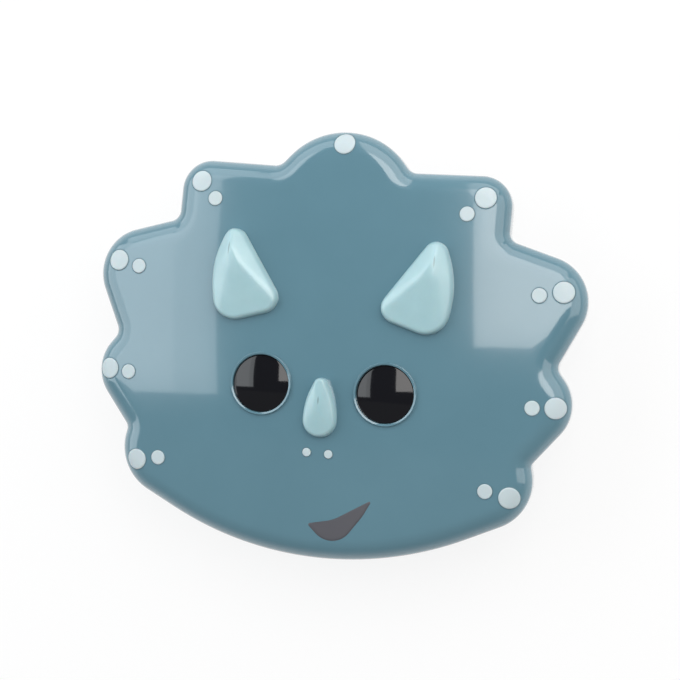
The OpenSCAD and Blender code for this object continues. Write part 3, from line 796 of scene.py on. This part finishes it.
eye_plastic = finish_of("eye_plastic", EYE_BLACK_DEEP, EYE_BLACK_PALE, 0.06, drift=0.02,
                        bump=0.001, marks=0.03)
radius = EYE / 2
rise = EYE_HEIGHT - EYE_SIDE
dome_radius = (radius ** 2 + rise ** 2) / (2 * rise)
spread = np.arcsin(radius / dome_radius)
dome = [(dome_radius * np.sin(a), EYE_HEIGHT - dome_radius * (1 - np.cos(a)), 0)
        for a in np.linspace(spread * 0.93, 0, 32)]
button = rounded([(0, -EYE_SINK, 0), (radius, -EYE_SINK, 0.2),
                  (radius, EYE_SIDE, EYE_ROUNDING)] + dome)
inside = radius + EYE_GAP
crest = inside + LIP_WIDTH * LIP_CREST
back = [(crest + LIP_WIDTH * (1 - LIP_CREST) * np.cos(a), LIP_HEIGHT * np.sin(a))
        for a in np.linspace(0, np.pi / 2, 8)]
dish = [(crest + (inside - crest) * t, LIP_HEIGHT - LIP_DISH * t ** 1.3)
        for t in np.linspace(0.15, 1, 6)]
beading = [(inside + LIP_WIDTH, -LIP_ROOT)] + back + dish + [(inside, -LIP_ROOT)]
pocket = np.array([(0, -EYE_SINK), (inside, -EYE_SINK), (inside, CUTTER_TOP),
                   (0, CUTTER_TOP)])
eye_places = [EYE_PLACE * (side, 1) - FACE_SHIFT for side in (1, -1)]
cutter = piece_of("pocket_cutter",
                  [turned_profile(pocket + (0, crown_height(place)), place, EYE_POINTS)
                   for place in eye_places], lid_plastic)
pockets = lid.modifiers.new("pockets", "BOOLEAN")
pockets.operation = "DIFFERENCE"
pockets.object = cutter
moulding = bpy.data.meshes.new_from_object(
    lid.evaluated_get(bpy.context.evaluated_depsgraph_get()))
lid.modifiers.clear()
lid.data = moulding
moulding.set_sharp_from_angle(angle=np.radians(SMOOTH_ANGLE))
bpy.data.objects.remove(cutter)
for name, place in zip(("right", "left"), eye_places):
    profile = button + (0, crown_height(place))
    eye = piece_of(f"eye_{name}_button", [turned_profile(profile, place, EYE_POINTS),
                                          peg_with_head(place + FACE_SHIFT, EYE_SIDE)],
                   eye_plastic)
    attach(eye, "lid")
    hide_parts(f"eye_{name}")
    angle = np.linspace(0, 2 * np.pi, EYE_POINTS, endpoint=False)
    rings = []
    for out, up in beading:
        plan = place + out * np.stack([np.cos(angle), np.sin(angle)], axis=1)
        rings.append(at(plan, crown_height(plan) + up))
    lip_skin = np.concatenate(rings), closed_ring_faces(len(rings), EYE_POINTS)
    pocket_lip = piece_of(f"eye_{name}_pocket_lip", [lip_skin], lid_plastic, 60)
    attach(pocket_lip, "lid")


# ---------------------------------------------------------------------------------------
# The mouth: a flat inlay of matt dark plastic in the shape of a small lopsided smile. It is
# let into the lid and stands a quarter of a millimetre proud of it.
# ---------------------------------------------------------------------------------------
MOUTH_CORNERS = [(-2.3, -64.1, 0.6), (7.9, -73.6, 8.1), (18, -59.3, 15), (21, -53.2, 0.4),
                 (7.2, -61.85, 15)]
MOUTH_THICKNESS = 0.25
PAD_ROOT = 0.12                         # how far a pad's underside lies inside the lid
SEAM_LIFT = 0.04                        # how far a seam stands off the lid's skin
MOUTH_DEEP = (76, 76, 82)
MOUTH_PALE = (85, 85, 91)


def pad(outline, middle, thickness, rings=10, seam=0.0):
    """A thin pad on the lid's skin. Its rim is a quarter ellipse as high as the pad is
    thick, and its underside lies just inside the skin. A seam wider than 0, as a share of
    the outline, is a flat edge round the pad's foot, almost level with the skin."""
    def ring(share, lift):
        plan = middle + share * (outline - middle)
        return at(plan, skin_height(plan) + lift)

    foot_lift = SEAM_LIFT if seam else 0.0
    under = [ring(share, -PAD_ROOT) for share in (0.5, 1 + seam)]
    over = [ring(1 + seam, foot_lift)] if seam else []
    over += [ring(1, foot_lift), ring(0.97, 0.7 * thickness)]
    over += [ring(share, thickness)
             for share in np.linspace(0.9, 0, rings, endpoint=False)]
    middle_height = skin_height(middle[None, :])[0]
    return stacked(under + over, (*middle, middle_height - PAD_ROOT),
                   (*middle, middle_height + thickness))


mouth_plastic = finish_of("mouth_plastic", MOUTH_DEEP, MOUTH_PALE, 0.55, grain=2200,
                          bump=0.015, marks=0.04)
mouth_outline = rounded([(x, y - FACE_SHIFT[1], r) for x, y, r in MOUTH_CORNERS], 15)
mouth_middle = (mouth_outline.max(0) + mouth_outline.min(0)) / 2
mouth = piece_of("mouth_smile", [pad(mouth_outline, mouth_middle, MOUTH_THICKNESS)],
                 mouth_plastic)
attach(mouth, "lid")
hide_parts("mouth_inlay")


# ---------------------------------------------------------------------------------------
# The dots: thin discs of near-white mint silicone bonded on the frill. Each side lobe has a
# large and a small one, the crest has one large, and two tiny ones are the nostrils.
# ---------------------------------------------------------------------------------------
DOT = 7.6
SMALL_DOT = 5.3
NOSTRIL = 3.1
DOT_THICKNESS = 0.3
DOT_DEEP = (181, 196, 201)
DOT_PALE = (190, 203, 207)
SEAM = 0.3                              # width of the flat edge round a dot's foot, coloured with painted shade
# the painted shade in the gap round each dot: a darker teal
SEAM_PAINTED_SHADE = (80, 112, 124)
CREST_DOT = (0, 22.6)                   # places from the middle of each lobe's rounding
BROW_DOT, BROW_SMALL_DOT = (2.1, 2.7), (-3.9, -3.4)
FRILL_DOT, FRILL_SMALL_DOT = (8.2, 3.8), (-0.1, 2.1)
CHEEK_DOT, CHEEK_SMALL_DOT = (9.9, -0.2), (1.9, -0.8)
JAW_DOT, JAW_SMALL_DOT = (10.8, -4.9), (2.2, -3.4)
NOSTRIL_PLACE = (4, -38.5)
DOT_POINTS = 56


def rounding_middle(before, corner, after):
    """The middle of the round at a corner of the face's outline: any point of the arc, less
    its normal times the radius."""
    arc, out = corner_arc(before, corner, after, corner[2], 2)
    return arc[0] - corner[2] * out[0]


def disc(place, diameter):
    """A round pad on the skin at a place of the face."""
    angle = np.linspace(0, 2 * np.pi, DOT_POINTS, endpoint=False)
    middle = np.asarray(place, float) - FACE_SHIFT
    outline = middle + diameter / 2 * np.stack([np.cos(angle), np.sin(angle)], axis=1)
    return pad(outline, middle, DOT_THICKNESS, seam=2 * SEAM / diameter)


def both_sides(places, diameter):
    """A disc at each place, and one at its mirror image."""
    return [disc(np.asarray(place) * (side, 1), diameter) for place in places
            for side in (1, -1)]


def painted_shade_values(shells, seam_rings=4):
    """The painted shade's mask: 1 at the points of the discs' underside and seam, the first
    rings of each, else 0.
    """
    values = [np.zeros(len(points)) for points, _ in shells]
    for value in values:
        value[:seam_rings * DOT_POINTS] = 1
    return np.concatenate(values)


crest_middle = rounding_middle(CREST_NOTCH, CREST_LOBE, mirrored(CREST_NOTCH))
brow_middle = rounding_middle(BROW_NOTCH, BROW_LOBE, CREST_NOTCH)
frill_middle = rounding_middle(FRILL_NOTCH, FRILL_LOBE, BROW_NOTCH)
cheek_middle = rounding_middle(CHEEK_NOTCH, CHEEK_LOBE, FRILL_NOTCH)
jaw_middle = rounding_middle(CHIN, JAW_LOBE, CHEEK_NOTCH)
large_places = [brow_middle + BROW_DOT, frill_middle + FRILL_DOT, cheek_middle + CHEEK_DOT,
                jaw_middle + JAW_DOT]
small_places = [brow_middle + BROW_SMALL_DOT, frill_middle + FRILL_SMALL_DOT,
                cheek_middle + CHEEK_SMALL_DOT, jaw_middle + JAW_SMALL_DOT]
dot_silicone = finish_of("dot_silicone", DOT_DEEP, DOT_PALE, 0.42, drift=0.1, patch=90,
                         grain=2600, bump=0.012, marks=0.0, subsurface_weight=0.08,
                         subsurface_scale=0.002)
# Painted shade: the dots' underside and the flat edge round each foot take a darker teal,
# standing in for the shade in the gap between dot and lid.
dot_nodes, dot_links = dot_silicone.node_tree.nodes, dot_silicone.node_tree.links
dot_base = dot_nodes["Principled BSDF"].inputs["Base Color"]
painted_shade_mask = dot_nodes.new("ShaderNodeAttribute")
painted_shade_mask.attribute_name = "seam"
painted_shade_tone = dot_nodes.new("ShaderNodeMix")
painted_shade_tone.data_type = "RGBA"
painted_shade_tone.inputs["B"].default_value = linear(SEAM_PAINTED_SHADE)
dot_links.new(painted_shade_mask.outputs["Fac"], painted_shade_tone.inputs["Factor"])
dot_links.new(dot_base.links[0].from_socket, painted_shade_tone.inputs["A"])
dot_links.new(painted_shade_tone.outputs["Result"], dot_base)
for name, node, shells in (
        ("large_dots", "frill_dots_large",
         [disc(crest_middle + CREST_DOT, DOT)] + both_sides(large_places, DOT)),
        ("small_dots", "frill_dots_small", both_sides(small_places, SMALL_DOT)),
        ("nostrils", "nostril_dots", both_sides([NOSTRIL_PLACE], NOSTRIL))):
    dots = piece_of(name, shells, dot_silicone, 60)
    dots.data.attributes.new("seam", "FLOAT", "POINT").data.foreach_set(
        "value", painted_shade_values(shells))
    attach(dots, "lid")
    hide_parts(node)


# ---------------------------------------------------------------------------------------
# The studio: a white floor under the foot and a pale room that is dark overhead. Softboxes
# hang to the left and the right of the camera, at the sides and at the back, and their
# straight edges show in the glossy lid and eyes. The camera looks down from the right.
# ---------------------------------------------------------------------------------------
FLOOR_SIZE = 6.0
FLOOR_GLOW = 0.85                       # share of the floor's white that needs no lamp
YAW, PITCH, ROLL = -0.2257, 0.0134, -0.0818      # radians, as the picture was taken
CAMERA_AWAY = Vector((4.019, -0.132, 526.6)) * MM
FACE_PLANE = 0.042                      # height of the plane that the camera frames
FACE_DOWN = -1.578 * MM                 # place of the framed point towards the crest
LENS = 77.5
FRAME_LIFT = 10 / 680                   # ten of the picture's 680 dots
FLOOR_WHITE = 0.9
HORIZON, WALL = 0.8, 0.22               # the room's light at the floor and higher up
WALL_FROM = 0.4                         # how far up a direction points, from 0 to 1
DARK_FROM, DARK_FULL = 0.66, 0.84       # the same, where the dark overhead begins and ends
DARK_BACK, DARK_FRONT = -0.19, -0.15    # how far towards the crest the dark begins
DARK = (0.14, 0.14, 0.15, 1)
LEVEL = 1.1                             # height of the softboxes overhead
COOL = (0.92, 0.97, 1)
WARM = (1, 0.98, 0.96)

white_ground = bpy.data.materials.new("white_ground")
white_ground.use_nodes = True
ground = white_ground.node_tree
matt = ground.nodes["Principled BSDF"]
matt.inputs["Base Color"].default_value = (FLOOR_WHITE, FLOOR_WHITE, FLOOR_WHITE, 1)
matt.inputs["Roughness"].default_value = 0.9
matt.inputs["Specular IOR Level"].default_value = 0.1
path = ground.nodes.new("ShaderNodeLightPath")
glow = ground.nodes.new("ShaderNodeEmission")
either = ground.nodes.new("ShaderNodeMath")
either.operation = "MAXIMUM"
any_seen = ground.nodes.new("ShaderNodeMath")
any_seen.operation = "MAXIMUM"
share = ground.nodes.new("ShaderNodeMath")
share.operation = "MULTIPLY"
share.inputs[1].default_value = FLOOR_GLOW
blend = ground.nodes.new("ShaderNodeMixShader")
ground.links.new(path.outputs["Is Camera Ray"], either.inputs[0])
ground.links.new(path.outputs["Is Glossy Ray"], either.inputs[1])
ground.links.new(either.outputs[0], any_seen.inputs[0])
ground.links.new(path.outputs["Is Transmission Ray"], any_seen.inputs[1])
ground.links.new(any_seen.outputs[0], share.inputs[0])
ground.links.new(share.outputs[0], blend.inputs["Fac"])
ground.links.new(matt.outputs[0], blend.inputs[1])
ground.links.new(glow.outputs[0], blend.inputs[2])
ground.links.new(blend.outputs[0], ground.nodes["Material Output"].inputs["Surface"])

half = FLOOR_SIZE / 2
floor_mesh = bpy.data.meshes.new("studio_floor")
floor_mesh.from_pydata([(-half, -half, 0), (half, -half, 0), (half, half, 0),
                        (-half, half, 0)], [], [(0, 1, 2, 3)])
floor_mesh.materials.append(white_ground)
floor = bpy.data.objects.new("studio_floor", floor_mesh)
bpy.context.collection.objects.link(floor)

world = bpy.data.worlds.new("studio_room")
world.use_nodes = True
bpy.context.scene.world = world
room = world.node_tree
way = room.nodes.new("ShaderNodeTexCoord")
parts = room.nodes.new("ShaderNodeSeparateXYZ")
walls = room.nodes.new("ShaderNodeValToRGB")
walls.color_ramp.elements[0].position = 0.0
walls.color_ramp.elements[0].color = (HORIZON, HORIZON, HORIZON, 1)
walls.color_ramp.elements[1].position = WALL_FROM
walls.color_ramp.elements[1].color = (WALL, WALL, WALL, 1)
overhead = room.nodes.new("ShaderNodeMapRange")
overhead.interpolation_type = "SMOOTHSTEP"
overhead.inputs["From Min"].default_value = DARK_FROM
overhead.inputs["From Max"].default_value = DARK_FULL
behind = room.nodes.new("ShaderNodeMapRange")
behind.interpolation_type = "SMOOTHSTEP"
behind.inputs["From Min"].default_value = DARK_BACK
behind.inputs["From Max"].default_value = DARK_FRONT
both = room.nodes.new("ShaderNodeMath")
both.operation = "MULTIPLY"
gloom = room.nodes.new("ShaderNodeMix")
gloom.data_type = "RGBA"
gloom.inputs["B"].default_value = DARK
room.links.new(way.outputs["Generated"], parts.inputs[0])
room.links.new(parts.outputs["Z"], walls.inputs["Fac"])
room.links.new(parts.outputs["Z"], overhead.inputs["Value"])
room.links.new(parts.outputs["Y"], behind.inputs["Value"])
room.links.new(overhead.outputs["Result"], both.inputs[0])
room.links.new(behind.outputs["Result"], both.inputs[1])
room.links.new(both.outputs[0], gloom.inputs["Factor"])
room.links.new(walls.outputs["Color"], gloom.inputs["A"])
room.links.new(gloom.outputs["Result"], room.nodes["Background"].inputs["Color"])
room.nodes["Background"].inputs["Strength"].default_value = 1.0


def softbox(name, corner, across, along, radiance, tint):
    """A rectangular lamp that gives an even radiance. It spans two sides from a corner, in
    metres and level with the picture's own axes, and shines to the side from which across
    turns to along clockwise."""
    across, along = Vector(across), Vector(along)
    lamp = bpy.data.lights.new(name, "AREA")
    lamp.shape = "RECTANGLE"
    lamp.size, lamp.size_y = across.length, along.length
    lamp.energy = radiance * np.pi * lamp.size * lamp.size_y
    lamp.color = tint
    turn = Matrix((across.normalized(), along.normalized(),
                   across.cross(along).normalized())).transposed().to_4x4()
    middle = Vector(corner) + (across + along) / 2
    holder = bpy.data.objects.new(name, lamp)
    holder.matrix_world = (Matrix.Rotation(-ROLL, 4, "Z") @ Matrix.Translation(middle)
                           @ turn)
    bpy.context.collection.objects.link(holder)


back_slope = (0, 0.33, -0.65)
softbox("softbox_left", (-0.95, -0.1, LEVEL), (0.38, 0, 0), (0, 1.1, 0), 2.9, COOL)
softbox("softbox_left_edge", (-0.57, -0.1, LEVEL), (0.095, 0, 0), (0, 1.1, 0), 2.4, COOL)
softbox("softbox_left_side", (-1.35, -0.3, 0.35), (0.39, 0, 0.75), (0, 1.2, 0), 2.0, COOL)
softbox("softbox_left_back", (-1.3, 1.02, LEVEL), (0.95, 0, 0), back_slope, 1.7, COOL)
softbox("softbox_right", (0.02, 0.008, LEVEL), (0.78, 0, 0), (0, 0.992, 0), 3.9, WARM)
softbox("softbox_right_side", (0.81, -0.3, LEVEL), (0.44, 0, -0.75), (0, 1.2, 0), 1.4, WARM)
softbox("softbox_right_back", (0.02, 1.02, LEVEL), (1.2, 0, 0), back_slope, 1.7, WARM)

to_camera = (Matrix.Rotation(ROLL, 3, "Z") @ Matrix.Rotation(PITCH, 3, "X")
             @ Matrix.Rotation(YAW, 3, "Y"))
eye_point = to_camera.transposed() @ CAMERA_AWAY + Vector((0, FACE_DOWN, FACE_PLANE))
lens = bpy.data.cameras.new("picture_camera")
lens.lens = LENS
lens.sensor_width = 36
lens.shift_y = FRAME_LIFT
camera = bpy.data.objects.new("picture_camera", lens)
camera.matrix_world = Matrix.Translation(eye_point) @ to_camera.transposed().to_4x4()
bpy.context.collection.objects.link(camera)
bpy.context.scene.camera = camera
bpy.context.scene.view_settings.view_transform = "Standard"
